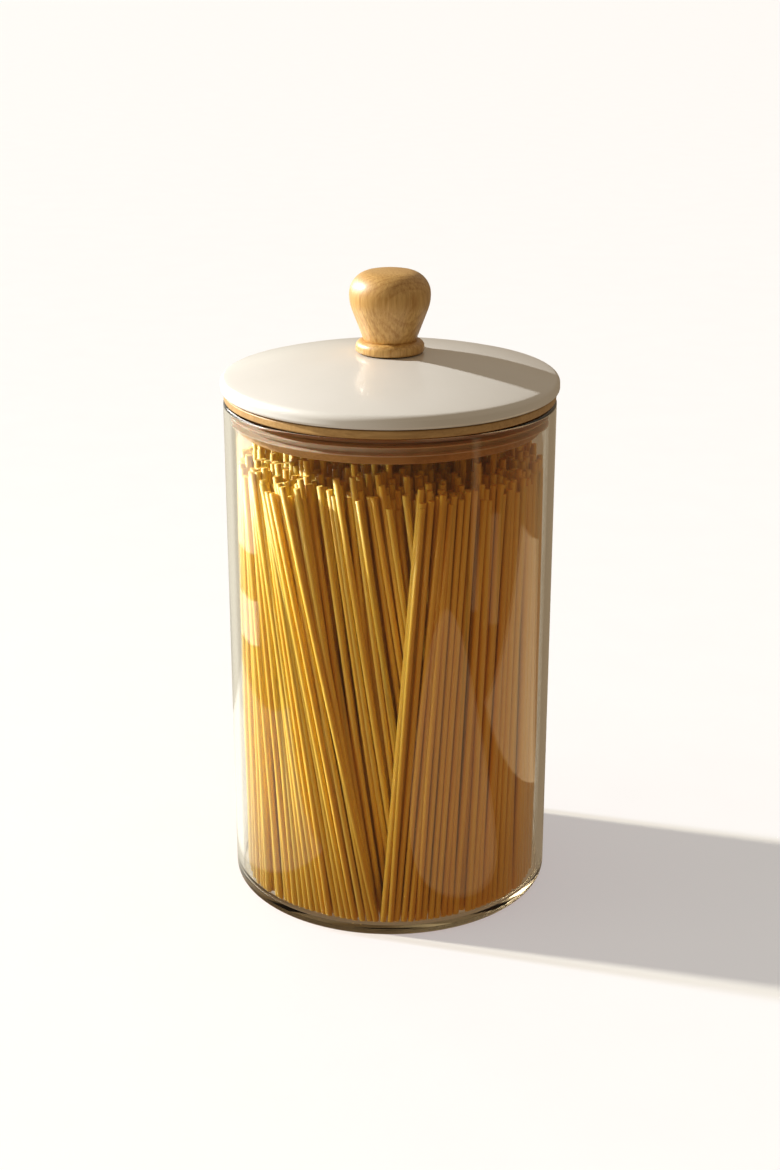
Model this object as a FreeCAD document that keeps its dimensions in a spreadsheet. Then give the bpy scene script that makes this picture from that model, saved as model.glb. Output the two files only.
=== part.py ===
import FreeCAD, Part
import math
import os

import Sketcher

# Lidded glass canister: a glass jar, and a lid of wood, glazed ceramic and silicone with a turned knob.
# Millimetres, +Z up, with the origin at the centre of the jar's base, on the surface that it stands on.
# Every piece is turned about Z. Each is drawn from its own lowest face up, and then lifted to its seat.
# The sizes are in the spreadsheet, and every sketch and placement is bound to it.

# alias: (value in millimetres, what it is)
SIZES = {
    "jar_radius": (55.0, "outside of the glass wall"),
    "jar_height": (172.0, "base to rim"),
    "jar_wall": (2.2, "thickness of the glass wall"),
    "jar_floor": (3.0, "thickness of the glass base"),
    "jar_foot_round": (3.2, "outer rounding of the base"),
    "jar_inner_round": (3.0, "inner rounding at the base"),
    "rim_gap": (0.3, "air between the rim and the flange, which the seal holds open"),
    "flange_inset": (0.2, "how far the flange stays inside the jar's outer wall"),
    "flange_thick": (2.5, "thickness of the wooden flange"),
    "plug_gap": (2.7, "air between the plug and the inside of the jar"),
    "plug_depth": (9.1, "flange to the plug's lower face"),
    "wood_round": (0.5, "rounding of the wooden edges"),
    "groove_depth": (2.5, "depth of the seal's groove"),
    "groove_lip": (2.7, "wood left below the groove"),
    "seal_height": (3.4, "height of the seal"),
    "seal_play": (0.15, "air between the seal and its groove"),
    "seal_proud": (0.2, "how far the seal's body stands out of the plug"),
    "fin_reach_gap": (0.25, "air between the tips of the fins and the glass"),
    "fin_root": (0.9, "thickness of a fin where it leaves the seal"),
    "fin_tip": (0.4, "thickness of a fin at its tip"),
    "pad_thick": (0.4, "thickness of the pad under the cover"),
    "pad_inset": (2.0, "how far the pad stays inside the flange"),
    "cover_overhang": (0.9, "how far the cover stands out past the jar"),
    "cover_edge": (4.2, "height of the cover's edge before it is rounded"),
    "cover_crown": (12.1, "height of the cover's dome above its lower face"),
    "cover_top_round": (2.3, "upper rounding of the cover's edge"),
    "cover_foot_round": (1.2, "lower rounding of the cover's edge"),
    "cover_wall": (4.5, "thickness of the ceramic under the dome"),
    "cover_land": (10.0, "width of the ring that the cover rests on"),
    "boss_wall": (7.0, "ceramic around the screw in the middle of the cover"),
    "seat_margin": (0.6, "flat seat left around the knob's collar"),
    "knob_pad_thick": (0.3, "thickness of the pad under the knob"),
    "knob_pad_inset": (0.4, "how far that pad stays inside the knob's foot"),
    "knob_height": (26.8, "collar to crown"),
    "knob_radius": (13.3, "widest radius of the knob"),
    "knob_belly_rise": (18.6, "height of the widest circle"),
    "knob_belly_round": (13.0, "radius of the belly below the widest circle"),
    "knob_shoulder_round": (7.4, "radius of the shoulder above it"),
    "knob_crown_round": (48.0, "radius of the nearly flat top"),
    "neck_radius": (8.6, "radius of the neck above the collar"),
    "collar_proud": (2.7, "how far the collar stands out past the neck"),
    "collar_round": (2.2, "radius of the collar's bead"),
    "collar_band": (0.7, "straight run below the bead"),
    "collar_foot": (1.0, "rounding between the straight run and the seat"),
    "insert_wall": (0.95, "thickness of the brass insert"),
    "insert_length": (11.0, "length of the insert"),
    "insert_flange_width": (1.1, "how far the insert's flange stands out"),
    "insert_flange_thick": (0.8, "thickness of the insert's flange"),
    "insert_end_gap": (1.5, "depth of the knob's bore past the insert and the screw"),
    "screw_radius": (2.5, "M5 shank"),
    "screw_length": (30.0, "shank, from under the head to the tip"),
    "screw_point": (0.6, "chamfer of the screw's tip"),
    "head_radius": (4.75, "button head"),
    "head_height": (2.75, "height of the button head"),
    "head_face_radius": (2.6, "flat of the button head"),
    "socket_flats": (3.0, "across the flats of the hexagon socket"),
    "socket_depth": (1.6, "depth of the hexagon socket"),
    "head_recess": (0.9, "how far the head stays inside the plug's lower face"),
    "thread_play": (0.05, "radial play of the screw in the insert"),
    "hole_play": (0.25, "radial play of the screw in the holes that it passes"),
    "washer_radius": (5.0, "outside of the washer"),
    "washer_thick": (1.0, "thickness of the washer"),
    "washer_play": (0.5, "radial play of the washer in its counterbore"),
}
FIRST_ROW = 2

document = FreeCAD.newDocument("canister")
sheet = document.addObject("Spreadsheet::Sheet", "Sizes")
for row, (alias, (value, meaning)) in enumerate(SIZES.items(), FIRST_ROW):
    sheet.set(f"A{row}", alias)
    sheet.set(f"B{row}", str(value))
    sheet.set(f"C{row}", meaning)
    sheet.setAlias(f"B{row}", alias)
document.recompute()


class Size:
    """A length with the expression that gives it, so that a sum of sizes stays bound to the sheet."""

    def __init__(self, value, text=None):
        self.value = float(value)
        self.text = text or repr(self.value)

    def _join(self, other, sign, value):
        return Size(value, f"({self.text} {sign} {other.text})")

    def __add__(self, other):
        return self._join(other, "+", self.value + other.value)

    def __sub__(self, other):
        return self._join(other, "-", self.value - other.value)

    def __mul__(self, other):
        return self._join(other, "*", self.value * other.value)

    def __truediv__(self, other):
        return self._join(other, "/", self.value / other.value)

    def root(self):
        return Size(math.sqrt(self.value), f"sqrt({self.text})")

    def at_least(self, other):
        return Size(max(self.value, other.value), f"max({self.text}; {other.text})")


def size(alias):
    return Size(sheet.get(alias), f"Sizes.{alias}")


def leg(hypotenuse, other_leg):
    """The remaining side of a right triangle."""
    return (hypotenuse * hypotenuse - other_leg * other_leg).root()


NOTHING = Size(0)
HALF = Size(0.5)
TWO = Size(2)

# Radii and heights that more than one piece shares.
jar_radius = size("jar_radius")
jar_bore = jar_radius - size("jar_wall")
plug_radius = jar_bore - size("plug_gap")
groove_radius = plug_radius - size("groove_depth")
groove_height = size("seal_height") + size("seal_play") * TWO
flange_radius = jar_radius - size("flange_inset")
cover_radius = jar_radius + size("cover_overhang")
hole_radius = size("screw_radius") + size("hole_play")
counterbore_radius = size("washer_radius") + size("washer_play")
counterbore_depth = size("head_recess") + size("head_height") + size("washer_thick")
insert_bore = size("screw_radius") + size("thread_play")
insert_radius = insert_bore + size("insert_wall")
insert_flange_radius = insert_radius + size("insert_flange_width")
collar_radius = size("neck_radius") + size("collar_proud")
collar_foot_radius = collar_radius - size("collar_foot")

flange_z = size("jar_height") + size("rim_gap")
plug_z = flange_z - size("plug_depth")
seal_z = plug_z + size("groove_lip") + size("seal_play")
pad_z = flange_z + size("flange_thick")
cover_z = pad_z + size("pad_thick")
washer_z = plug_z + counterbore_depth - size("washer_thick")
screw_z = plug_z + size("head_recess")

# The dome is one sphere through the crown and the cover's edge. Its centre is far below the cover.
dome_drop = size("cover_crown") - size("cover_edge")
dome_radius = (cover_radius * cover_radius + dome_drop * dome_drop) / (dome_drop * TWO)
seat_radius = collar_radius + size("seat_margin")


def dome_height(radius, sphere=dome_radius):
    """Height of a sphere about the dome's centre, above the cover's lower face."""
    return leg(sphere, radius) - (dome_radius - size("cover_crown"))


seat_height = dome_height(seat_radius)
knob_pad_z = cover_z + seat_height
knob_z = knob_pad_z + size("knob_pad_thick")
screw_tip_z = screw_z + size("head_height") + size("screw_length")


class Outline:
    """A closed outline in a body's XZ plane, radius across and height up, bound point by point."""

    def __init__(self, body, name):
        self.sketch = body.newObject("Sketcher::SketchObject", name)
        self.sketch.AttachmentSupport = (origin_plane(body, "XZ_Plane"), [""])
        self.sketch.MapMode = "FlatFace"
        self.points = []
        self.edges = []

    def point(self, radius, height):
        """A corner, joined to the one before it by a straight line."""
        self.points.append((radius, height))
        self.edges.append(None)
        return self

    def arc(self, radius, height, bend, turn):
        """A corner, joined to the one before it by an arc of radius bend. turn is +1 for a left turn."""
        self.points.append((radius, height))
        self.edges.append((bend, turn))
        return self

    def close(self):
        """Draw the outline and bind each of its corners and arcs to the sheet."""
        corners = [FreeCAD.Vector(r.value, z.value, 0) for r, z in self.points]
        count = len(corners)
        starts = []
        for index, edge in enumerate(self.edges):
            before, here = corners[index - 1], corners[index]
            if edge is None:
                curve = Part.LineSegment(before, here)
                starts.append(1)
            else:
                bend, turn = edge
                curve = arc_between(before, here, bend.value, turn)
                starts.append(1 if turn > 0 else 2)
            self.sketch.addGeometry(curve, False)
        for index in range(count):
            following = (index + 1) % count
            end = 3 - starts[index]
            self._add("Coincident", index, end, following, starts[following])
            radius, height = self.points[index]
            self._place("DistanceX", -2, index, end, radius)
            self._place("DistanceY", -1, index, end, height)
            if self.edges[index] is not None:
                bend = self.edges[index][0]
                self._bind(self._add("Radius", index, bend.value), bend)
        return self.sketch

    def _add(self, *arguments):
        return self.sketch.addConstraint(Sketcher.Constraint(*arguments))

    def _bind(self, constraint, length):
        self.sketch.setExpression(f"Constraints[{constraint}]", length.text)

    def _place(self, kind, axis, edge, end, length):
        """Hold one end of an edge on an axis of the sketch, or at a bound distance from it."""
        if length is NOTHING:
            self._add("PointOnObject", edge, end, axis)
        else:
            origin_point = (-1, 1)
            self._bind(self._add(kind, *origin_point, edge, end, length.value), length)


def arc_between(start, end, bend, turn):
    """The shorter arc of radius bend from start to end, bending to the left where turn is +1."""
    chord = end - start
    side = FreeCAD.Vector(-chord.y, chord.x, 0).normalize() * turn
    centre = (start + end) * 0.5 + side * math.sqrt(bend**2 - (chord.Length / 2) ** 2)
    outward = ((start + end) * 0.5 - centre).normalize() * bend
    first, last = (start, end) if turn > 0 else (end, start)
    return Part.Arc(first, centre + outward, last)


def origin_plane(body, role):
    return next(feature for feature in body.Origin.OriginFeatures if feature.Role == role)


def new_body(label, height):
    """A body whose lowest face is lifted to the given height."""
    body = document.addObject("PartDesign::Body", label)
    body.Label = label
    if height is not NOTHING:
        body.setExpression("Placement.Base.z", height.text)
    return body


def revolve(body, sketch):
    feature = body.newObject("PartDesign::Revolution", f"{body.Label}_turned")
    feature.Profile = sketch
    feature.ReferenceAxis = (sketch, ["V_Axis"])
    feature.Angle = 360
    sketch.Visibility = False
    document.recompute()
    return feature


def turned_ring(label, height, inner, outer, thick):
    """A flat ring, such as a washer or a pad."""
    body = new_body(label, height)
    outline = Outline(body, f"{label}_outline")
    outline.point(inner, NOTHING).point(outer, NOTHING).point(outer, thick).point(inner, thick)
    revolve(body, outline.close())
    return body


def glass_jar():
    foot = size("jar_foot_round")
    inner = size("jar_inner_round")
    rim_round = size("jar_wall") * HALF
    rim_shoulder = size("jar_height") - rim_round
    floor = size("jar_floor")
    body = new_body("glass_jar", NOTHING)
    outline = Outline(body, "jar_outline")
    outline.point(NOTHING, NOTHING)
    outline.point(jar_radius - foot, NOTHING)
    outline.arc(jar_radius, foot, foot, +1)
    outline.point(jar_radius, rim_shoulder)
    outline.arc(jar_radius - rim_round, size("jar_height"), rim_round, +1)
    outline.arc(jar_bore, rim_shoulder, rim_round, +1)
    outline.point(jar_bore, floor + inner)
    outline.arc(jar_bore - inner, floor, inner, -1)
    outline.point(NOTHING, floor)
    revolve(body, outline.close())
    return body


def lid_base():
    """The flange and the plug, with the seal's groove and a counterbore for the screw's head."""
    edge = size("wood_round")
    flange_low = size("plug_depth")
    flange_top = flange_low + size("flange_thick")
    lip = size("groove_lip")
    body = new_body("lid_base", plug_z)
    outline = Outline(body, "base_outline")
    outline.point(counterbore_radius, NOTHING)
    outline.point(plug_radius - edge, NOTHING)
    outline.arc(plug_radius, edge, edge, +1)
    outline.point(plug_radius, lip)
    outline.point(groove_radius, lip)
    outline.point(groove_radius, lip + groove_height)
    outline.point(plug_radius, lip + groove_height)
    outline.point(plug_radius, flange_low)
    outline.point(flange_radius - edge, flange_low)
    outline.arc(flange_radius, flange_low + edge, edge, +1)
    outline.point(flange_radius, flange_top - edge)
    outline.arc(flange_radius - edge, flange_top, edge, +1)
    outline.point(hole_radius, flange_top)
    outline.point(hole_radius, counterbore_depth)
    outline.point(counterbore_radius, counterbore_depth)
    revolve(body, outline.close())
    return body


def seal_ring():
    """A band in the groove, with a tapering fin at its foot and another at its top."""
    inner = groove_radius + size("seal_play")
    outer = plug_radius + size("seal_proud")
    tip = jar_bore - size("fin_reach_gap")
    root = size("fin_root")
    taper = (root - size("fin_tip")) * HALF
    top = size("seal_height")
    body = new_body("seal_ring", seal_z)
    outline = Outline(body, "seal_outline")
    outline.point(inner, NOTHING)
    outline.point(outer, NOTHING)
    outline.point(tip, taper)
    outline.point(tip, root - taper)
    outline.point(outer, root)
    outline.point(outer, top - root)
    outline.point(tip, top - root + taper)
    outline.point(tip, top - taper)
    outline.point(outer, top)
    outline.point(inner, top)
    revolve(body, outline.close())
    return body


def cover_plate():
    """A domed disc of even thickness, on an outer land and a boss around the screw."""
    foot = size("cover_foot_round")
    top = size("cover_top_round")
    land_radius = cover_radius - foot - size("cover_land")
    boss_radius = hole_radius + size("boss_wall")
    ceiling = dome_radius - size("cover_wall")
    # The upper rounding touches the side and the dome from inside.
    top_centre_radius = cover_radius - top
    top_centre_height = dome_height(top_centre_radius, dome_radius - top)
    stretch = dome_radius / (dome_radius - top)
    shoulder_radius = top_centre_radius * stretch
    body = new_body("cover_plate", cover_z)
    outline = Outline(body, "cover_outline")
    outline.point(hole_radius, NOTHING)
    outline.point(boss_radius, NOTHING)
    outline.point(boss_radius, dome_height(boss_radius, ceiling))
    outline.arc(land_radius, dome_height(land_radius, ceiling), ceiling, -1)
    outline.point(land_radius, NOTHING)
    outline.point(cover_radius - foot, NOTHING)
    outline.arc(cover_radius, foot, foot, +1)
    outline.point(cover_radius, top_centre_height)
    outline.arc(shoulder_radius, dome_height(shoulder_radius), top, +1)
    outline.arc(seat_radius, seat_height, dome_radius, +1)
    outline.point(hole_radius, seat_height)
    revolve(body, outline.close())
    return body


def knob():
    """A collar with a round bead, a neck that flares to the belly, a shoulder and a shallow crown."""
    belly = size("knob_belly_round")
    belly_z = size("knob_belly_rise")
    shoulder = size("knob_shoulder_round")
    crown = size("knob_crown_round")
    bead = size("collar_round")
    foot = size("collar_foot")
    bore_depth = size("insert_length").at_least(screw_tip_z - knob_z) + size("insert_end_gap")

    # The bead starts above the straight run, and its top dips to the neck.
    bead_centre = collar_radius - bead
    bead_z = foot + size("collar_band")
    neck_z = bead_z + leg(bead, bead_centre - size("neck_radius"))

    # The flank is straight, and leaves the neck as a tangent of the belly's circle.
    belly_centre = size("knob_radius") - belly
    across = belly_centre - size("neck_radius")
    up = belly_z - neck_z
    span_squared = across * across + up * up
    tangent = (span_squared - belly * belly).root()
    flank_across = (across * tangent + up * belly) * tangent / span_squared
    flank_up = (up * tangent - across * belly) * tangent / span_squared

    # The crown's sphere holds the shoulder's circle from outside.
    shoulder_centre = size("knob_radius") - shoulder
    crown_z = size("knob_height") - crown
    shoulder_z = crown_z + leg(crown - shoulder, shoulder_centre)
    crown_radius = shoulder_centre * crown / (crown - shoulder)

    body = new_body("knob", knob_z)
    outline = Outline(body, "knob_outline")
    outline.point(insert_flange_radius, NOTHING)
    outline.point(collar_foot_radius, NOTHING)
    outline.arc(collar_radius, foot, foot, +1)
    outline.point(collar_radius, bead_z)
    outline.arc(size("neck_radius"), neck_z, bead, +1)
    outline.point(size("neck_radius") + flank_across, neck_z + flank_up)
    outline.arc(size("knob_radius"), belly_z, belly, +1)
    outline.point(size("knob_radius"), shoulder_z)
    outline.arc(crown_radius, crown_z + leg(crown, crown_radius), shoulder, +1)
    outline.arc(NOTHING, size("knob_height"), crown, +1)
    outline.point(NOTHING, bore_depth)
    outline.point(insert_radius, bore_depth)
    outline.point(insert_radius, size("insert_flange_thick"))
    outline.point(insert_flange_radius, size("insert_flange_thick"))
    revolve(body, outline.close())
    return body


def knob_insert():
    """A flanged brass sleeve, flush with the knob's foot. Its thread is left out."""
    flange = size("insert_flange_thick")
    body = new_body("knob_insert", knob_z)
    outline = Outline(body, "insert_outline")
    outline.point(insert_bore, NOTHING)
    outline.point(insert_flange_radius, NOTHING)
    outline.point(insert_flange_radius, flange)
    outline.point(insert_radius, flange)
    outline.point(insert_radius, size("insert_length"))
    outline.point(insert_bore, size("insert_length"))
    revolve(body, outline.close())
    return body


def knob_screw():
    """A button head screw with a hexagon socket, head down. Its thread is left out."""
    head = size("head_height")
    tip = head + size("screw_length")
    point = size("screw_point")
    rise = size("head_radius") - size("head_face_radius")
    # The head's curve is tangent to its wide end.
    dome = (rise * rise + head * head) / (rise * TWO)
    body = new_body("knob_screw", screw_z)
    outline = Outline(body, "screw_outline")
    outline.point(NOTHING, NOTHING)
    outline.point(size("head_face_radius"), NOTHING)
    outline.arc(size("head_radius"), head, dome, +1)
    outline.point(size("screw_radius"), head)
    outline.point(size("screw_radius"), tip - point)
    outline.point(size("screw_radius") - point, tip)
    outline.point(NOTHING, tip)
    turned = revolve(body, outline.close())
    uncut_volume = turned.Shape.Volume

    socket = body.newObject("Sketcher::SketchObject", "socket_outline")
    socket.AttachmentSupport = (origin_plane(body, "XY_Plane"), [""])
    socket.MapMode = "FlatFace"
    draw_hexagon(socket, size("socket_flats"))
    pocket = body.newObject("PartDesign::Pocket", "socket")
    pocket.Profile = socket
    pocket.Reversed = True
    pocket.setExpression("Length", size("socket_depth").text)
    document.recompute()
    if not pocket.Shape.Volume < uncut_volume:
        raise RuntimeError("the screw's socket cuts nothing")
    return body


def draw_hexagon(sketch, flats):
    """A regular hexagon about the sketch's origin, held by a construction circle."""
    sides = 6
    corner_radius = flats / Size(3).root()
    turns = [math.tau * side / sides for side in range(sides)]
    corners = [FreeCAD.Vector(math.cos(t), math.sin(t), 0) * corner_radius.value for t in turns]
    for side in range(sides):
        sketch.addGeometry(Part.LineSegment(corners[side], corners[(side + 1) % sides]), False)
    across = FreeCAD.Vector(0, 0, 1)
    circle = sketch.addGeometry(Part.Circle(FreeCAD.Vector(), across, corner_radius.value), True)
    sketch.addConstraint(Sketcher.Constraint("Coincident", circle, 3, -1, 1))
    radius = sketch.addConstraint(Sketcher.Constraint("Radius", circle, corner_radius.value))
    sketch.setExpression(f"Constraints[{radius}]", corner_radius.text)
    for side in range(sides):
        following = (side + 1) % sides
        sketch.addConstraint(Sketcher.Constraint("Coincident", side, 2, following, 1))
        sketch.addConstraint(Sketcher.Constraint("PointOnObject", side, 1, circle))
        if following:
            sketch.addConstraint(Sketcher.Constraint("Equal", side, following))
    sketch.addConstraint(Sketcher.Constraint("PointOnObject", 0, 1, -1))


def check(bodies):
    """Stop before anything is written if a feature failed or a piece is not one sound solid."""
    for item in document.Objects:
        if {"Invalid", "Error"} & set(item.State):
            raise RuntimeError(f"{item.Label} failed: {item.State}")
    for body in bodies:
        shape = body.Shape
        if shape.isNull() or not shape.isValid() or len(shape.Solids) != 1:
            raise RuntimeError(f"{body.Label} is not one valid solid")


def main():
    pad_radius = flange_radius - size("pad_inset")
    knob_pad_radius = collar_foot_radius - size("knob_pad_inset")
    bodies = [
        glass_jar(),
        lid_base(),
        seal_ring(),
        turned_ring("cover_pad", pad_z, hole_radius, pad_radius, size("pad_thick")),
        cover_plate(),
        turned_ring(
            "knob_pad", knob_pad_z, insert_flange_radius, knob_pad_radius, size("knob_pad_thick")
        ),
        knob(),
        knob_insert(),
        turned_ring("screw_washer", washer_z, hole_radius, size("washer_radius"), size("washer_thick")),
        knob_screw(),
    ]
    document.recompute()
    check(bodies)
    os.makedirs("parts", exist_ok=True)
    for body in bodies:
        body.Shape.exportStep(f"parts/{body.Label}.step")
        box = body.Shape.BoundBox
        print(f"{body.Label}: {body.Shape.Volume:.1f} mm3, z {box.ZMin:.2f} to {box.ZMax:.2f}")


main()
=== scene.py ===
import math
import random

import bpy
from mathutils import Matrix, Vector


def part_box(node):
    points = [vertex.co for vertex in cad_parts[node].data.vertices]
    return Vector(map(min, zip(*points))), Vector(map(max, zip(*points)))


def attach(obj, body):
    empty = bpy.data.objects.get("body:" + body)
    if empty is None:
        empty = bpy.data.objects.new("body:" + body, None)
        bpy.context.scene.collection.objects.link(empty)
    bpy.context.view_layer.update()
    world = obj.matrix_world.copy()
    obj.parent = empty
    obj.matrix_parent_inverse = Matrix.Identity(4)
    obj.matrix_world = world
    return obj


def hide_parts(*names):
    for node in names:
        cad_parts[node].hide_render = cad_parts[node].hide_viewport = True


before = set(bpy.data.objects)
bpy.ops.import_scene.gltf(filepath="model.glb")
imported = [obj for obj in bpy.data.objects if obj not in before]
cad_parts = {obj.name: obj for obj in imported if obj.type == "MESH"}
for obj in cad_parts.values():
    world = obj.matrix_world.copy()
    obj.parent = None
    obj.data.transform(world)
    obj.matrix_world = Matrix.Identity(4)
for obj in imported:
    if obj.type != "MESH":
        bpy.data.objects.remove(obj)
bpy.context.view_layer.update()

# The canister's looks: glass, glazed ceramic, turned wood and silicone, and the spaghetti it holds.
# Metres throughout, in the frame's own coordinates.
MM = 0.001
SEGMENTS_WIDE = 256
SEGMENTS_KNOB = 160
ARC_STEP = math.radians(9)
SHARP_ANGLE = math.radians(35)
HOLD = 0.05 * MM


# ---------------------------------------------------------------- turned pieces


def arc_points(start, end, bend, turn):
    """Points after start up to end on the shorter arc of radius bend. turn is +1 to the left."""
    chord = end - start
    side = Vector((-chord.y, chord.x)).normalized() * turn
    rise = math.sqrt(max(bend * bend - (chord.length / 2) ** 2, 0.0))
    centre = (start + end) / 2 + side * rise
    first = math.atan2(*(start - centre).yx)
    sweep = (math.atan2(*(end - centre).yx) - first) % math.tau
    if turn < 0:
        sweep -= math.tau
    steps = max(2, math.ceil(abs(sweep) / ARC_STEP))
    around = [first + sweep * step / steps for step in range(1, steps + 1)]
    return [centre + Vector((math.cos(a), math.sin(a))) * bend for a in around]


class Outline:
    """A closed outline, radius across and height up, of straight runs and arcs."""

    def __init__(self, radius, height):
        self.points = [Vector((radius, height))]

    def line(self, radius, height, steps=1):
        """A straight run. Points close to its ends keep its shading flat up to the roundings."""
        start, end = self.points[-1].copy(), Vector((radius, height))
        length = (end - start).length
        shares = {step / steps for step in range(1, steps + 1)}
        if length > 20 * HOLD:
            shares |= {HOLD / length, 1 - HOLD / length}
        self.points += [start.lerp(end, share) for share in sorted(shares)]
        return self

    def curve(self, from_radius, to_radius, steps, height):
        """Points along height(radius)."""
        for step in range(1, steps + 1):
            radius = from_radius + (to_radius - from_radius) * step / steps
            self.points.append(Vector((radius, height(radius))))
        return self

    def arc(self, radius, height, bend, turn=1):
        self.points += arc_points(self.points[-1].copy(), Vector((radius, height)), bend, turn)
        return self


def turned(name, outline, segments, material):
    """A closed mesh turned about Z. Points on the axis become one vertex."""
    vertices, rings = [], []
    for point in outline.points:
        if point.x < 1e-7:
            rings.append([len(vertices)] * segments)
            vertices.append((0.0, 0.0, point.y))
            continue
        rings.append(list(range(len(vertices), len(vertices) + segments)))
        for index in range(segments):
            turn = math.tau * index / segments
            vertices.append((point.x * math.cos(turn), point.x * math.sin(turn), point.y))
    faces = []
    for low, high in zip(rings, rings[1:] + rings[:1]):
        for index in range(segments):
            following = (index + 1) % segments
            face = [low[index], low[following], high[following], high[index]]
            face = [v for place, v in enumerate(face) if v not in face[:place]]
            if len(face) > 2:
                faces.append(face)
    mesh = bpy.data.meshes.new(name)
    mesh.from_pydata(vertices, [], faces)
    mesh.validate()
    mesh.polygons.foreach_set("use_smooth", [True] * len(mesh.polygons))
    mesh.set_sharp_from_angle(angle=SHARP_ANGLE)
    mesh.materials.append(material)
    piece = bpy.data.objects.new(name, mesh)
    bpy.context.scene.collection.objects.link(piece)
    return piece


# ---------------------------------------------------------------- materials


class Nodes:
    """A material's node tree, with a Principled shader ready."""

    def __init__(self, name):
        self.material = bpy.data.materials.new(name)
        self.material.use_nodes = True
        self.tree = self.material.node_tree
        self.shader = self.tree.nodes["Principled BSDF"]
        self.output = self.tree.nodes["Material Output"]

    def add(self, kind, **values):
        """A new node. Each value sets a property of the node, or else the input of that name."""
        node = self.tree.nodes.new(kind)
        for key, value in values.items():
            if hasattr(node, key):
                setattr(node, key, value)
            else:
                node.inputs[key.replace("_", " ")].default_value = value
        return node

    def link(self, source, target):
        self.tree.links.new(source, target)

    def set(self, **values):
        for key, value in values.items():
            self.shader.inputs[key.replace("_", " ")].default_value = value

    def place(self, scale):
        """Object coordinates stretched by scale, one number per axis."""
        where = self.add("ShaderNodeTexCoord")
        stretch = self.add("ShaderNodeMapping")
        stretch.inputs["Scale"].default_value = scale
        self.link(where.outputs["Object"], stretch.inputs["Vector"])
        return stretch.outputs["Vector"]

    def noise(self, vector, scale, detail=3.0, roughness=0.5, distortion=0.0):
        node = self.add("ShaderNodeTexNoise", Scale=scale, Detail=detail, Roughness=roughness)
        node.inputs["Distortion"].default_value = distortion
        self.link(vector, node.inputs["Vector"])
        return node.outputs["Fac"]

    def ramp(self, factor, stops):
        """A colour ramp. stops are pairs of a position and a colour."""
        node = self.add("ShaderNodeValToRGB")
        elements = node.color_ramp.elements
        while len(elements) < len(stops):
            elements.new(0.5)
        for element, (position, colour) in zip(elements, stops):
            element.position = position
            element.color = (*colour, 1.0)
        self.link(factor, node.inputs["Fac"])
        return node.outputs["Color"]

    def range(self, factor, low, high, from_low=0.0, from_high=1.0):
        """Stretch from_low..from_high to low..high, and hold it there outside."""
        node = self.add("ShaderNodeMapRange")
        node.inputs["From Min"].default_value = from_low
        node.inputs["From Max"].default_value = from_high
        node.inputs["To Min"].default_value = low
        node.inputs["To Max"].default_value = high
        self.link(factor, node.inputs["Value"])
        return node.outputs["Result"]

    def math(self, operation, first, second):
        node = self.add("ShaderNodeMath", operation=operation)
        for socket, value in zip(node.inputs, (first, second)):
            if isinstance(value, (int, float)):
                socket.default_value = value
            else:
                self.link(value, socket)
        return node.outputs["Value"]

    def mix(self, factor, first, second):
        """A blend of two colours or values. Each of the three may be a number, a colour or a socket."""
        node = self.add("ShaderNodeMix", data_type="RGBA")
        sockets = (node.inputs["Factor"], node.inputs["A"], node.inputs["B"])
        for socket, value in zip(sockets, (factor, first, second)):
            if isinstance(value, (int, float)):
                socket.default_value = value
            elif isinstance(value, tuple):
                socket.default_value = (*value, 1.0)
            else:
                self.link(value, socket)
        return node.outputs["Result"]

    def bump(self, height, strength, distance):
        node = self.add("ShaderNodeBump", Strength=strength, Distance=distance)
        self.link(height, node.inputs["Height"])
        self.link(node.outputs["Normal"], self.shader.inputs["Normal"])


GLASS_BODY = (0.64, 0.55, 0.36)
GLASS_DENSITY = 24.0
SUN_THROUGH_GLASS = (0.97, 0.97, 0.95)
FILL_THROUGH_GLASS = (0.97, 0.73, 0.45)


def clear_glass():
    """Clear glass with a faint waviness. Sunlight passes it freely, and fill light a little warmed."""
    nodes = Nodes("clear_glass")
    nodes.set(Base_Color=(0.985, 0.985, 0.97, 1), Roughness=0.0, IOR=1.5, Transmission_Weight=1.0)
    waves = nodes.noise(nodes.place((1, 1, 0.35)), 28, detail=1.5)
    nodes.bump(waves, 0.06, 0.001)
    body = nodes.add("ShaderNodeVolumeAbsorption", Density=GLASS_DENSITY)
    body.inputs["Color"].default_value = (*GLASS_BODY, 1)
    nodes.link(body.outputs["Volume"], nodes.output.inputs["Volume"])
    passing = nodes.add("ShaderNodeBsdfTransparent")
    path = nodes.add("ShaderNodeLightPath")
    tint = nodes.mix(path.outputs["Is Shadow Ray"], FILL_THROUGH_GLASS, SUN_THROUGH_GLASS)
    nodes.link(tint, passing.inputs["Color"])
    soft = nodes.math("MAXIMUM", path.outputs["Is Shadow Ray"], path.outputs["Is Diffuse Ray"])
    mix = nodes.add("ShaderNodeMixShader")
    nodes.link(soft, mix.inputs["Fac"])
    nodes.link(nodes.shader.outputs["BSDF"], mix.inputs[1])
    nodes.link(passing.outputs["BSDF"], mix.inputs[2])
    nodes.link(mix.outputs["Shader"], nodes.output.inputs["Surface"])
    return nodes.material


def cream_glaze():
    """Satin off-white glaze with a faint cloudiness and orange peel."""
    nodes = Nodes("cream_glaze")
    clouds = nodes.noise(nodes.place((1, 1, 1)), 45, detail=4)
    nodes.link(
        nodes.ramp(clouds, [(0.3, (0.735, 0.725, 0.68)), (0.7, (0.76, 0.75, 0.71))]),
        nodes.shader.inputs["Base Color"],
    )
    gloss = nodes.noise(nodes.place((1, 1, 1)), 160, detail=2)
    nodes.link(nodes.range(gloss, 0.26, 0.36), nodes.shader.inputs["Roughness"])
    nodes.set(Coat_Weight=0.5, Coat_Roughness=0.1)
    peel = nodes.noise(nodes.place((1, 1, 1)), 900, detail=1)
    nodes.bump(peel, 0.05, 0.0002)
    return nodes.material


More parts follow.
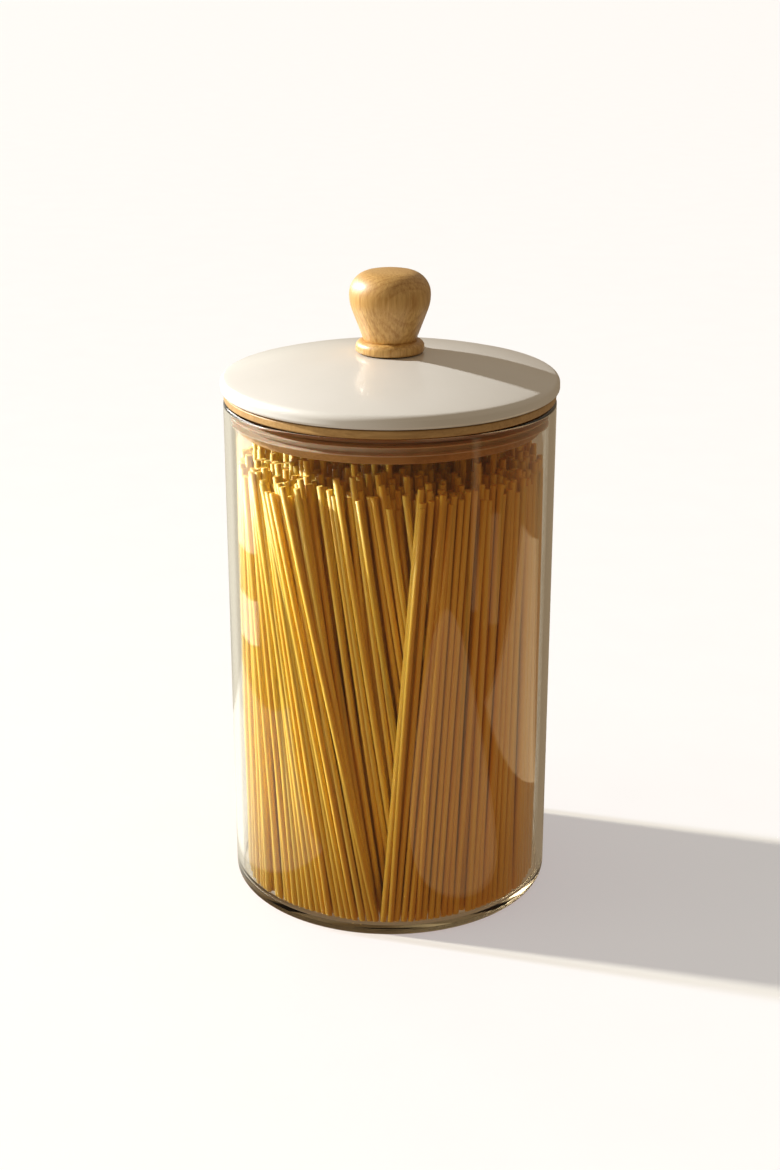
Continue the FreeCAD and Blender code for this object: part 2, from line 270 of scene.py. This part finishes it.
PITH_LEAN = 0.10
RING_WARP = 2.2
RING_GREYS = ((0.0, 0.34), (0.5, 0.42), (0.88, 0.74), (1.0, 0.34))
PORE_SHADE = 0.45
PORE_WEIGHT = 0.45


def ring_wood(name, pith, ring_width, light, dark, gloss):
    """Turned wood, its growth rings about a pith that is nearly vertical, at that X and Y."""
    nodes = Nodes(name)
    where = nodes.place((1, 1, 1))
    warp = nodes.noise(nodes.place((1, 1, 0.3)), 60, detail=2)
    apart = nodes.add("ShaderNodeSeparateXYZ")
    nodes.link(where, apart.inputs["Vector"])
    across = nodes.math("SUBTRACT", apart.outputs["X"], pith[0])
    along = nodes.math("SUBTRACT", apart.outputs["Y"], pith[1])
    lean = nodes.math("MULTIPLY", apart.outputs["Z"], PITH_LEAN)
    along = nodes.math("ADD", along, lean)
    across_squared = nodes.math("MULTIPLY", across, across)
    along_squared = nodes.math("MULTIPLY", along, along)
    radius = nodes.math("SQRT", nodes.math("ADD", across_squared, along_squared), 0.0)
    warped = nodes.math("ADD", radius, nodes.math("MULTIPLY", warp, ring_width * RING_WARP))
    phase = nodes.math("FRACT", nodes.math("DIVIDE", warped, ring_width), 0.0)
    rings = nodes.ramp(phase, [(share, (grey,) * 3) for share, grey in RING_GREYS])
    fibres = nodes.noise(nodes.place((1, 1, 0.04)), 1500, detail=3, roughness=0.6)
    pores = nodes.noise(nodes.place((1, 1, 0.06)), 3200, detail=2, roughness=0.7)
    lines = nodes.range(fibres, 0.0, 1.0, 0.3, 0.7)
    figure = nodes.mix(0.5, rings, lines)
    blotch = nodes.noise(nodes.place((1, 1, 0.5)), 90, detail=2)
    colour = nodes.ramp(figure, [(0.2, light), (0.75, dark)])
    colour = nodes.mix(nodes.range(blotch, 0.0, 0.5, 0.35, 0.75), colour, dark)
    dots = nodes.range(pores, 1.0, 0.0, 0.28, 0.36)
    pore_colour = tuple(channel * PORE_SHADE for channel in dark)
    colour = nodes.mix(nodes.math("MULTIPLY", dots, PORE_WEIGHT), colour, pore_colour)
    nodes.link(colour, nodes.shader.inputs["Base Color"])
    nodes.link(nodes.range(fibres, gloss, gloss + 0.14), nodes.shader.inputs["Roughness"])
    nodes.set(Coat_Weight=0.35, Coat_Roughness=0.32)
    nodes.bump(nodes.mix(0.5, figure, dots), 0.12, 0.0003)
    return nodes.material


def plank_wood(name, light, dark, gloss):
    """Wood cut from a plank that runs along X, as on a turned disc."""
    nodes = Nodes(name)
    bands = nodes.noise(nodes.place((0.03, 1, 1)), 420, detail=4, roughness=0.65, distortion=0.3)
    fibres = nodes.noise(nodes.place((0.05, 1, 1)), 1800, detail=3, roughness=0.6)
    figure = nodes.mix(0.5, bands, fibres)
    colour = nodes.ramp(figure, [(0.35, light), (0.68, dark)])
    nodes.link(colour, nodes.shader.inputs["Base Color"])
    nodes.link(nodes.range(fibres, gloss, gloss + 0.15), nodes.shader.inputs["Roughness"])
    nodes.set(Coat_Weight=0.12, Coat_Roughness=0.35)
    nodes.bump(figure, 0.15, 0.0003)
    return nodes.material


def milky_silicone():
    """Translucent silicone, which takes some of its colour from the wood behind it."""
    nodes = Nodes("milky_silicone")
    haze = nodes.noise(nodes.place((1, 1, 1)), 220, detail=2)
    nodes.link(
        nodes.ramp(haze, [(0.3, (0.53, 0.44, 0.34)), (0.7, (0.61, 0.52, 0.42))]),
        nodes.shader.inputs["Base Color"],
    )
    nodes.link(nodes.range(haze, 0.34, 0.5), nodes.shader.inputs["Roughness"])
    nodes.set(Subsurface_Weight=0.35, Subsurface_Scale=0.002)
    nodes.bump(nodes.noise(nodes.place((1, 1, 1)), 1400, detail=1), 0.06, 0.0002)
    return nodes.material


def foam_and_painted_shade():
    """Dark closed-cell foam, seen only at its edge. Its near-black colour is also painted shade for the
    dark gap line under the cover's and the knob's edges.
    """
    nodes = Nodes("foam_and_painted_shade")
    cells = nodes.noise(nodes.place((1, 1, 1)), 2600, detail=2)
    # Near-black: partly the foam's own colour, partly painted shade for the gap line under the cover
    # and the knob.
    nodes.link(
        nodes.ramp(cells, [(0.3, (0.02, 0.016, 0.013)), (0.7, (0.05, 0.042, 0.036))]),
        nodes.shader.inputs["Base Color"],
    )
    nodes.set(Roughness=0.9)
    nodes.bump(cells, 0.4, 0.0002)
    return nodes.material


def turned_metal(name, colour, roughness):
    """Metal with fine turning marks round Z."""
    nodes = Nodes(name)
    marks = nodes.noise(nodes.place((1, 1, 30)), 260, detail=3)
    nodes.link(
        nodes.ramp(marks, [(0.3, tuple(c * 0.85 for c in colour)), (0.7, colour)]),
        nodes.shader.inputs["Base Color"],
    )
    nodes.link(nodes.range(marks, roughness, roughness + 0.15), nodes.shader.inputs["Roughness"])
    nodes.set(Metallic=1.0)
    nodes.bump(marks, 0.15, 0.0001)
    return nodes.material


def dry_pasta():
    """Dry durum spaghetti: golden, slightly translucent, each strand a shade of its own."""
    nodes = Nodes("dry_pasta")
    island = nodes.add("ShaderNodeNewGeometry").outputs["Random Per Island"]
    flow = nodes.noise(nodes.place((1, 1, 0.05)), 900, detail=3, roughness=0.6)
    shade = nodes.mix(0.45, island, flow)
    colour = nodes.ramp(
        shade, [(0.1, (0.86, 0.55, 0.07)), (0.5, (0.91, 0.66, 0.105)), (0.9, (0.94, 0.75, 0.17))]
    )
    nodes.link(colour, nodes.shader.inputs["Base Color"])
    nodes.link(nodes.range(flow, 0.36, 0.55), nodes.shader.inputs["Roughness"])
    nodes.set(Subsurface_Weight=0.5, Subsurface_Scale=0.0007)
    nodes.shader.inputs["Subsurface Radius"].default_value = (1.0, 0.9, 0.7)
    nodes.bump(flow, 0.15, 0.0002)
    return nodes.material


def pasta_ends():
    """The broken ends of the strands, a little rougher and more floury than their sides."""
    nodes = Nodes("pasta_ends")
    island = nodes.add("ShaderNodeNewGeometry").outputs["Random Per Island"]
    grain = nodes.noise(nodes.place((1, 1, 1)), 2500, detail=2)
    shade = nodes.mix(0.5, island, grain)
    colour = nodes.ramp(shade, [(0.2, (0.86, 0.52, 0.05)), (0.8, (0.95, 0.74, 0.18))])
    nodes.link(colour, nodes.shader.inputs["Base Color"])
    nodes.set(Roughness=0.7, Subsurface_Weight=0.3, Subsurface_Scale=0.0012)
    nodes.bump(grain, 0.3, 0.0002)
    return nodes.material


# ---------------------------------------------------------------- the canister

jar_low, jar_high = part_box("glass_jar")
base_low, base_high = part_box("lid_base")
seal_low, seal_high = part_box("seal_ring")
cover_low, cover_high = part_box("cover_plate")
pad_low, pad_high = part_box("cover_pad")
knob_low, knob_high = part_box("knob")
knob_pad_low, knob_pad_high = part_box("knob_pad")

# Sizes that the boxes don't give, as they are in the CAD.
JAR_RADIUS = jar_high.x
JAR_WALL = 2.2 * MM
JAR_FLOOR = 3.0 * MM
JAR_BORE = JAR_RADIUS - JAR_WALL
PLUG_RADIUS = JAR_BORE - 2.7 * MM
GROOVE_DEPTH = 2.5 * MM
GROOVE_LIP = 2.7 * MM
GROOVE_HEIGHT = 3.7 * MM
FLANGE_THICK = 2.5 * MM
SEAL_PROUD = 0.2 * MM
SEAL_PLAY = 0.15 * MM
SCREW_HOLE = 2.75 * MM
SINK_RADIUS = 5.5 * MM
SINK_DEPTH = 4.65 * MM
INSERT_SINK = 4.6 * MM
BOSS_RADIUS = 9.75 * MM
COVER_LAND = 10 * MM
COVER_WALL = 4.5 * MM


def place(piece, node, body, slot):
    """Let piece stand for a node, which is hidden, and ride on its body. The slot is not used."""
    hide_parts(node)
    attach(piece, body)


def make_jar():
    """The glass, with a fire-polished rim and a rounded foot."""
    foot, inner, rim = 3.2 * MM, 3.0 * MM, JAR_WALL / 2
    low, high = jar_low.z, jar_high.z
    outline = Outline(0, low)
    outline.line(JAR_RADIUS - foot, low, 6).arc(JAR_RADIUS, low + foot, foot)
    outline.line(JAR_RADIUS, high - rim, 12)
    outline.arc(JAR_RADIUS - rim, high, rim).arc(JAR_BORE, high - rim, rim)
    outline.line(JAR_BORE, low + JAR_FLOOR + inner, 12)
    outline.arc(JAR_BORE - inner, low + JAR_FLOOR, inner, -1)
    outline.line(0, low + JAR_FLOOR, 6)
    glass = turned("jar_glass", outline, SEGMENTS_WIDE, clear_glass())
    place(glass, "glass_jar", "jar", "clear_glass")


def make_lid_base():
    """The wooden disc: a plug with a groove for the seal, and a flange above it."""
    edge = 0.5 * MM
    plug, groove, flange = PLUG_RADIUS, PLUG_RADIUS - GROOVE_DEPTH, base_high.x
    low, high = base_low.z, base_high.z
    flange_low = high - FLANGE_THICK
    lip = low + GROOVE_LIP
    groove_top = lip + GROOVE_HEIGHT
    sink_top = low + SINK_DEPTH
    outline = Outline(SINK_RADIUS, low)
    outline.line(plug - edge, low, 4).arc(plug, low + edge, edge)
    outline.line(plug, lip).line(groove, lip).line(groove, groove_top).line(plug, groove_top)
    outline.line(plug, flange_low).line(flange - edge, flange_low)
    outline.arc(flange, flange_low + edge, edge).line(flange, high - edge)
    outline.arc(flange - edge, high, edge).line(SCREW_HOLE, high, 6)
    outline.line(SCREW_HOLE, sink_top).line(SINK_RADIUS, sink_top)
    wood = plank_wood("lid_wood", (0.57, 0.355, 0.135), (0.36, 0.20, 0.065), 0.4)
    plug_piece = turned("lid_wooden_plug", outline, SEGMENTS_WIDE, wood)
    place(plug_piece, "lid_base", "lid", "turned_wood")


def make_seal():
    """The silicone ring, with two tapered fins that reach for the glass."""
    outer = PLUG_RADIUS + SEAL_PROUD
    inner = PLUG_RADIUS - GROOVE_DEPTH + SEAL_PLAY
    tip = seal_high.x
    root, taper = 0.9 * MM, 0.25 * MM
    low, high = seal_low.z, seal_high.z
    outline = Outline(inner, low)
    outline.line(outer, low).line(tip, low + taper)
    outline.line(tip, low + root - taper).line(outer, low + root)
    outline.line(outer, high - root).line(tip, high - root + taper)
    outline.line(tip, high - taper).line(outer, high).line(inner, high)
    ring = turned("lid_silicone_seal", outline, SEGMENTS_WIDE, milky_silicone())
    place(ring, "seal_ring", "seal", "silicone")


def make_cover():
    """The domed disc. Its dome is one sphere through the crown and the edge."""
    foot, top = 1.2 * MM, 2.3 * MM
    crown, edge = 12.1 * MM, 4.2 * MM
    radius = cover_high.x
    low = cover_low.z
    drop = crown - edge
    dome = (radius * radius + drop * drop) / (2 * drop)
    centre = low + crown - dome
    inside = dome - COVER_WALL
    land, seat = radius - foot - COVER_LAND, 11.9 * MM

    def height(at, sphere):
        return centre + math.sqrt(sphere * sphere - at * at)

    top_centre = radius - top
    shoulder = top_centre * dome / (dome - top)
    outline = Outline(SCREW_HOLE, low)
    outline.line(BOSS_RADIUS, low).line(BOSS_RADIUS, height(BOSS_RADIUS, inside))
    outline.curve(BOSS_RADIUS, land, 12, lambda at: height(at, inside))
    outline.line(land, low).line(radius - foot, low).arc(radius, low + foot, foot)
    outline.line(radius, height(top_centre, dome - top))
    outline.arc(shoulder, height(shoulder, dome), top)
    outline.curve(shoulder, seat, 24, lambda at: height(at, dome))
    outline.line(SCREW_HOLE, height(seat, dome))
    disc = turned("lid_glazed_cover", outline, SEGMENTS_WIDE, cream_glaze())
    place(disc, "cover_plate", "lid", "cream_glaze")


def make_knob():
    """The turned knob: collar, neck, a straight flank that meets the belly, shoulder and crown."""
    low = knob_low.z
    height = knob_high.z - low
    widest, belly_rise = 13.3 * MM, 18.6 * MM
    belly, shoulder, crown = 13.0 * MM, 7.4 * MM, 48.0 * MM
    neck, collar = 8.6 * MM, 11.3 * MM
    bead, foot, band = 2.2 * MM, 1.0 * MM, 0.7 * MM
    bore, bore_depth, flange_depth = 3.5 * MM, 12.5 * MM, 0.8 * MM

    neck_rise = foot + band + math.sqrt(bead**2 - (collar - bead - neck) ** 2)
    across, up = widest - belly - neck, belly_rise - neck_rise
    span = across * across + up * up
    tangent = math.sqrt(span - belly * belly)
    flank_across = (across * tangent + up * belly) * tangent / span
    flank_up = (up * tangent - across * belly) * tangent / span
    shoulder_centre = widest - shoulder
    crown_centre = height - crown
    shoulder_rise = crown_centre + math.sqrt((crown - shoulder) ** 2 - shoulder_centre**2)
    crown_radius = shoulder_centre * crown / (crown - shoulder)
    crown_rise = crown_centre + math.sqrt(crown**2 - crown_radius**2)

    outline = Outline(INSERT_SINK, low)
    outline.line(collar - foot, low, 2).arc(collar, low + foot, foot)
    outline.line(collar, low + foot + band)
    outline.arc(neck, low + neck_rise, bead)
    outline.line(neck + flank_across, low + neck_rise + flank_up, 6)
    outline.arc(widest, low + belly_rise, belly)
    outline.line(widest, low + shoulder_rise)
    outline.arc(crown_radius, low + crown_rise, shoulder)
    outline.curve(crown_radius, 0, 8, lambda at: low + crown_centre + math.sqrt(crown**2 - at**2))
    outline.line(0, low + bore_depth).line(bore, low + bore_depth)
    outline.line(bore, low + flange_depth).line(INSERT_SINK, low + flange_depth)
    pith, ring_width = (-0.0055, 0.030), 1.3 * MM
    light, dark = (0.71, 0.46, 0.155), (0.44, 0.22, 0.05)
    wood = ring_wood("knob_beech", pith, ring_width, light, dark, 0.38)
    knob = turned("lid_turned_knob", outline, SEGMENTS_KNOB, wood)
    place(knob, "knob", "lid", "knob_wood")


def make_pads():
    """The two thin pads, under the cover and under the knob. Their near-black colour also paints the
    shade in those gaps.
    """
    pad_foam_and_shade = foam_and_painted_shade()
    for name, node, low, high, hole in (
        ("cover_foam_pad", "cover_pad", pad_low, pad_high, SCREW_HOLE),
        ("knob_foam_pad", "knob_pad", knob_pad_low, knob_pad_high, INSERT_SINK),
    ):
        outline = Outline(hole, low.z)
        outline.line(high.x, low.z).line(high.x, high.z).line(hole, high.z)
        place(turned(name, outline, SEGMENTS_KNOB, pad_foam_and_shade), node, "lid", "dark_pad")


def finish_hidden_metal():
    """The screw, its washer and the insert keep their CAD shapes."""
    steel = turned_metal("zinc_steel", (0.62, 0.61, 0.59), 0.28)
    brass = turned_metal("brass", (0.80, 0.58, 0.26), 0.25)
    for node, metal in (("knob_screw", steel), ("screw_washer", steel), ("knob_insert", brass)):
        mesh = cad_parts[node].data
        mesh.materials.clear()
        mesh.materials.append(metal)


# ---------------------------------------------------------------- what it holds

STRAND_RADIUS = 1.04 * MM
STRAND_SIDES = 8
STRAND_RINGS = 4
STRAND_LENGTH = 148 * MM
TIP_SPREAD_FRONT = 2.0 * MM
TIP_SPREAD_CORE = 3.2 * MM
TIP_HIGHEST = 156 * MM
SHELL_PITCH = 2.2 * MM
CONTENTS_RADIUS = JAR_BORE - 1.6 * MM
# Turns about Z, in radians. 0 is the front and more is to the right.
LEFT_LEAN = 0.60
LEFT_ENDS_AT = 0.50
RIGHT_LEAN = 0.21
RIGHT_STARTS_AT = -0.085
FRONT_RINGS = 2
CORE_STARTS_AT_RING = 4
RINGS_THAT_LEAN = 9
SHARE_MISSING = 0.03


def strand(vertices, faces, ends, foot, tip, bow, radius):
    """One strand from foot to tip, bowed a little to one side."""
    along = (tip - foot).normalized()
    side = along.cross(Vector((0, 1, 0))).normalized()
    other = along.cross(side)
    first = len(vertices)
    for ring in range(STRAND_RINGS):
        share = ring / (STRAND_RINGS - 1)
        centre = foot.lerp(tip, share) + bow * (4 * share * (1 - share))
        for corner in range(STRAND_SIDES):
            turn = math.tau * corner / STRAND_SIDES
            vertices.append(centre + (side * math.cos(turn) + other * math.sin(turn)) * radius)
    for ring in range(STRAND_RINGS - 1):
        for corner in range(STRAND_SIDES):
            following = (corner + 1) % STRAND_SIDES
            low = first + ring * STRAND_SIDES
            high = low + STRAND_SIDES
            faces.append((low + following, low + corner, high + corner, high + following))
            ends.append(0)
    last = first + (STRAND_RINGS - 1) * STRAND_SIDES
    faces.append(tuple(first + corner for corner in range(STRAND_SIDES)))
    faces.append(tuple(last + corner for corner in reversed(range(STRAND_SIDES))))
    ends.extend((1, 1))


def ease(value, low, high):
    """0 below low, 1 above high, smooth between."""
    share = min(max((value - low) / (high - low), 0.0), 1.0)
    return share * share * (3 - 2 * share)


def left_lean(turn):
    """Turn from foot to tip of the bundle that leans left. It runs on behind the other bundle."""
    rising = ease(turn, -1.5, -0.15)
    falling = 1 - ease(turn, LEFT_ENDS_AT - 0.1, LEFT_ENDS_AT + 0.5)
    return -LEFT_LEAN * rising * falling


def right_lean(turn):
    """Turn from foot to tip of the front bundle on the right."""
    return RIGHT_LEAN * (1 - 0.3 * ease(turn, 0.0, 0.5)) * (1 - ease(turn, 0.5, 1.5))


def point_at(turn, radius, height):
    """The point at that turn from the front."""
    return Vector((math.sin(turn) * radius, -math.cos(turn) * radius, height))


def make_contents():
    """Spaghetti in rings, from the wall in. On the right, the front rings lean right."""
    draw = random.Random(11)
    pasta, cut = dry_pasta(), pasta_ends()
    groups = {name: ([], [], []) for name in ("spaghetti_left", "spaghetti_right", "spaghetti_core")}
    floor = jar_low.z + JAR_FLOOR + 0.3 * MM
    shell = 0
    radius = CONTENTS_RADIUS - STRAND_RADIUS
    while radius > STRAND_RADIUS:
        count = max(1, int(math.tau * radius / (2.2 * STRAND_RADIUS)))
        for index in range(count):
            turn = math.tau * (index + 0.5) / count - math.pi + draw.uniform(-0.45, 0.45) / count
            if draw.random() < SHARE_MISSING:
                continue
            in_front = turn > RIGHT_STARTS_AT and shell < FRONT_RINGS
            if in_front:
                lean, name = right_lean(turn), "spaghetti_right"
            else:
                lean = left_lean(turn) * max(0.0, 1 - shell / RINGS_THAT_LEAN)
                name = "spaghetti_left"
            if shell >= CORE_STARTS_AT_RING:
                name = "spaghetti_core"
            crowded = 0.8 if in_front else 0.8 + 2.6 * abs(lean)
            foot_radius = radius - draw.uniform(-0.2, 0.9) * MM
            tip_radius = radius - draw.uniform(-0.2, crowded) * MM
            tip_turn = turn + lean + draw.gauss(0, 0.026)
            spread = TIP_SPREAD_FRONT if shell < FRONT_RINGS else TIP_SPREAD_CORE
            height = min(STRAND_LENGTH + draw.gauss(0, 1) * spread, TIP_HIGHEST)
            foot = point_at(turn, foot_radius, floor)
            tip = point_at(tip_turn, tip_radius, floor + height)
            bow = Vector((draw.gauss(0, 0.35), draw.gauss(0, 0.3), 0)) * MM
            strand(*groups[name], foot, tip, bow, STRAND_RADIUS * draw.uniform(0.93, 1.05))
        radius -= SHELL_PITCH
        shell += 1
    for name, (vertices, faces, ends) in groups.items():
        mesh = bpy.data.meshes.new(name)
        mesh.from_pydata(vertices, [], faces)
        mesh.materials.append(pasta)
        mesh.materials.append(cut)
        mesh.polygons.foreach_set("material_index", ends)
        mesh.polygons.foreach_set("use_smooth", [end == 0 for end in ends])
        piece = bpy.data.objects.new(name, mesh)
        bpy.context.scene.collection.objects.link(piece)
        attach(piece, "jar")


# ---------------------------------------------------------------- studio

CAMERA_DISTANCE = 0.6265
CAMERA_ELEVATION = math.radians(20.0)
CAMERA_TARGET = Vector((0, 0, 0.1056))
CAMERA_LENS = 56.2
SUN_ELEVATION = math.radians(28)
SUN_BEHIND = math.radians(16)
SUN_STRENGTH = 5.75
# The room by direction, as the glass and the glazes see it.
ROOM_WINDOW = (0.86, 0.80, 0.66)
ROOM_SIDE = (0.27, 0.20, 0.125)
ROOM_FRONT = (0.12, 0.09, 0.06)
ROOM_ABOVE = (0.38, 0.32, 0.25)
ROOM_BELOW = (0.20, 0.13, 0.07)
# What the room gives as fill light, and what the camera sees of it.
ROOM_FILL = (0.33, 0.26, 0.185)
ROOM_SEEN = (0.98, 0.975, 0.96)
PALE_LIGHT = (1.0, 0.97, 0.92)
WARM_LIGHT = (1.0, 0.80, 0.48)


def make_camera():
    """The camera in front of the canister, at the angle that it is usually seen from."""
    data = bpy.data.cameras.new("camera")
    data.lens = CAMERA_LENS
    data.sensor_width = 36
    camera = bpy.data.objects.new("camera", data)
    bpy.context.scene.collection.objects.link(camera)
    back = Vector((0, -math.cos(CAMERA_ELEVATION), math.sin(CAMERA_ELEVATION)))
    camera.location = CAMERA_TARGET + back * CAMERA_DISTANCE
    camera.rotation_euler = (-back).to_track_quat("-Z", "Y").to_euler()
    bpy.context.scene.camera = camera


def aim(lamp, place, target):
    lamp.location = place
    lamp.rotation_euler = (Vector(target) - Vector(place)).to_track_quat("-Z", "Y").to_euler()


def soft_box(name, place, target, width, height, radiance, colour, shape="RECTANGLE"):
    """A light turned to target, which only the glass, the glaze and the lacquer reflect."""
    data = bpy.data.lights.new(name, "AREA")
    data.shape = shape
    data.size, data.size_y = width, height
    data.energy = radiance * math.pi * width * height
    data.color = colour
    lamp = bpy.data.objects.new(name, data)
    lamp.visible_camera = False
    lamp.visible_diffuse = False
    bpy.context.scene.collection.objects.link(lamp)
    aim(lamp, place, target)
    return lamp


PATCH_HEIGHT = 4 * MM


def table_patch(name, place, width, length, spin, radiance, colour, shape):
    """A sunlit patch of the table, which only the glass and the glaze reflect."""
    x, y = place
    above = (x, y, jar_low.z + PATCH_HEIGHT)
    lamp = soft_box(name, above, (x, y, 1), width, length, radiance, colour, shape)
    lamp.rotation_euler = (math.pi, 0, spin)


def make_lights():
    """A low sun from the left and a little behind, a dim warm room, and soft lights for the glass."""
    data = bpy.data.lights.new("low_sun", "SUN")
    data.energy = SUN_STRENGTH
    data.angle = math.radians(2.2)
    data.color = (1.0, 0.99, 0.97)
    sun = bpy.data.objects.new("low_sun", data)
    bpy.context.scene.collection.objects.link(sun)
    flat = math.cos(SUN_ELEVATION)
    across, back = -flat * math.cos(SUN_BEHIND), flat * math.sin(SUN_BEHIND)
    aim(sun, Vector((across, back, math.sin(SUN_ELEVATION))), (0, 0, 0))
    for name, where, aim_height, width, height, radiance, colour in (
        ("pane_upper_left", (-0.22, 0.075, 0.085), 0.14, 0.09, 0.05, 1.3, PALE_LIGHT),
        ("pane_lower_left", (-0.22, 0.075, 0.026), 0.09, 0.09, 0.020, 1.45, PALE_LIGHT),
        ("rim_left", (-0.42, 0.22, 0.33), 0.16, 0.5, 0.2, 8, PALE_LIGHT),
        ("streak_right", (0.25, -0.17, 0.06), 0.14, 0.025, 0.08, 0.42, WARM_LIGHT),
        ("streak_far_right", (0.26, -0.09, 0.045), 0.12, 0.035, 0.05, 0.38, WARM_LIGHT),
    ):
        soft_box(name, where, (0, 0, aim_height), width, height, radiance, colour)
    for name, where, width, length, degrees, radiance, colour, shape in (
        ("table_left", (-0.13, 0.02), 0.14, 0.20, 0.0, 0.42, PALE_LIGHT, "RECTANGLE"),
        ("table_right", (0.274, 0.054), 0.16, 0.30, 125.6, 0.6, WARM_LIGHT, "RECTANGLE"),
        ("table_front", (0.125, -0.165), 0.15, 0.28, 37, 0.38, WARM_LIGHT, "ELLIPSE"),
    ):
        table_patch(name, where, width, length, math.radians(degrees), radiance, colour, shape)
    bounce = soft_box("wall_left", (-0.87, -0.2, 0.08), (0, 0, 0.09), 0.4, 0.16, 20, PALE_LIGHT)
    bounce.visible_diffuse = True
    bounce.visible_glossy = False
    bounce.visible_transmission = False


def make_room():
    """The world: a room by direction for reflections, one plain fill, and a pale backdrop."""
    world = bpy.data.worlds.new("room")
    world.use_nodes = True
    tree = world.node_tree

    def node(kind, **values):
        made = tree.nodes.new(kind)
        for key, value in values.items():
            setattr(made, key, value)
        return made

    def blend(factor, first, second):
        made = node("ShaderNodeMix", data_type="RGBA")
        tree.links.new(factor, made.inputs["Factor"])
        for socket, value in ((made.inputs["A"], first), (made.inputs["B"], second)):
            if isinstance(value, tuple):
                socket.default_value = (*value, 1)
            else:
                tree.links.new(value, socket)
        return made.outputs["Result"]

    def share(value, low, high):
        made = node("ShaderNodeMapRange")
        made.inputs["From Min"].default_value = low
        made.inputs["From Max"].default_value = high
        tree.links.new(value, made.inputs["Value"])
        return made.outputs["Result"]

    apart = node("ShaderNodeSeparateXYZ")
    tree.links.new(node("ShaderNodeTexCoord").outputs["Generated"], apart.inputs["Vector"])
    left_wall = blend(share(apart.outputs["X"], -0.55, -0.85), ROOM_WINDOW, ROOM_SIDE)
    behind = blend(share(apart.outputs["X"], -0.16, 0.0), left_wall, ROOM_SIDE)
    colour = blend(share(apart.outputs["Y"], -0.1, 0.4), ROOM_FRONT, behind)
    colour = blend(share(apart.outputs["Z"], 0.1, 0.3), colour, ROOM_ABOVE)
    colour = blend(share(apart.outputs["Z"], -0.48, -0.6), colour, ROOM_BELOW)
    path = node("ShaderNodeLightPath")
    colour = blend(path.outputs["Is Diffuse Ray"], colour, ROOM_FILL)
    colour = blend(path.outputs["Is Camera Ray"], colour, ROOM_SEEN)
    tree.links.new(colour, tree.nodes["Background"].inputs["Color"])
    bpy.context.scene.world = world


FLOOR_HALF = 25.0
FLOOR_GAP = 0.05 * MM


def make_floor():
    """A pale floor that catches shadows. Only the camera sees it, and the glass sees the room."""
    half = FLOOR_HALF
    mesh = bpy.data.meshes.new("floor")
    corners = [(-half, -half, 0), (half, -half, 0), (half, half, 0), (-half, half, 0)]
    mesh.from_pydata(corners, [], [(0, 1, 2, 3)])
    nodes = Nodes("pale_floor")
    speckle = nodes.noise(nodes.place((1, 1, 1)), 30, detail=3)
    nodes.link(
        nodes.ramp(speckle, [(0.3, (0.545, 0.54, 0.53)), (0.7, (0.555, 0.55, 0.54))]),
        nodes.shader.inputs["Base Color"],
    )
    nodes.set(Roughness=0.8, Specular_IOR_Level=0.2)
    nodes.set(Emission_Color=(0.93, 0.96, 1.0, 1), Emission_Strength=0.38)
    mesh.materials.append(nodes.material)
    floor = bpy.data.objects.new("floor", mesh)
    bpy.context.scene.collection.objects.link(floor)
    floor.location.z = jar_low.z - FLOOR_GAP
    floor.visible_diffuse = False
    floor.visible_glossy = False
    floor.visible_transmission = False


make_jar()
make_lid_base()
make_seal()
make_cover()
make_knob()
make_pads()
finish_hidden_metal()
make_contents()
make_camera()
make_lights()
make_room()
make_floor()

GLASS_BOUNCES = 24
scene = bpy.context.scene
scene.view_settings.view_transform = "Standard"
scene.cycles.max_bounces = GLASS_BOUNCES
scene.cycles.transmission_bounces = GLASS_BOUNCES
scene.cycles.glossy_bounces = GLASS_BOUNCES
scene.cycles.transparent_max_bounces = GLASS_BOUNCES
scene.cycles.caustics_refractive = False
scene.cycles.caustics_reflective = False
